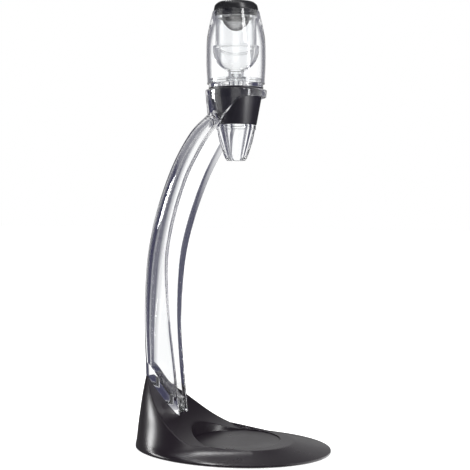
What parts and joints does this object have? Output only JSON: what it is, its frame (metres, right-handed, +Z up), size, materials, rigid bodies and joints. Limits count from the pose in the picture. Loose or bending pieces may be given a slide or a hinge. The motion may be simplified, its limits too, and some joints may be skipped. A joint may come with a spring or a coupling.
{
  "type": "wine aerator",
  "caption": "Clear wine aerator with a mesh strainer and grip band, held by a clear curved pillar over an oval black base with a seat for a glass.",
  "frame": {"origin": "on the table, under the middle of the base's oval", "axes": "+Z up, -Y the front where the glass stands, +Y the back where the pillar rises, X across"},
  "size_m": [0.146, 0.19, 0.4201],
  "materials": {
    "black_satin": "satin moulded plastic",
    "black_gloss": "semi-gloss moulded plastic",
    "foot_rubber": "matte rubber",
    "black_silicone": "matte silicone",
    "clear_silicone": "translucent silicone",
    "clear_acrylic": "clear polished acrylic",
    "steel": "zinc-plated steel",
    "mesh_steel": "fine stainless mesh"
  },
  "bodies": {
    "stand": {"base_shell": "black_satin", "bottom_plate": "black_satin", "foot_ring": "foot_rubber", "plate_screws": "steel", "pillar": "clear_acrylic", "pillar_screws": "steel", "pillar_washers": "steel"},
    "aerator": {"spout": "clear_acrylic", "spout_seal": "clear_silicone", "lower_body": "clear_acrylic", "grip_band": "black_silicone", "shell_seal": "clear_silicone", "outer_shell": "clear_acrylic", "funnel_seal": "clear_silicone", "mixing_tube": "clear_acrylic", "nozzle": "clear_acrylic", "funnel_bowl": "clear_acrylic", "sleeve_seal": "clear_silicone", "inner_sleeve": "clear_acrylic"},
    "strainer": {"cap_ring": "black_gloss", "cap_seal": "black_silicone", "strainer_bowl": "mesh_steel", "strainer_retainer": "black_gloss"}
  },
  "joints": [
    {"name": "aerator_lift", "type": "slide", "parent": "stand", "child": "aerator", "axis": [0, 0, 1], "range_m": [0, 0.08]},
    {"name": "strainer_lift", "type": "slide", "parent": "aerator", "child": "strainer", "axis": [0, 0, 1], "range_m": [0, 0.03]}
  ]
}
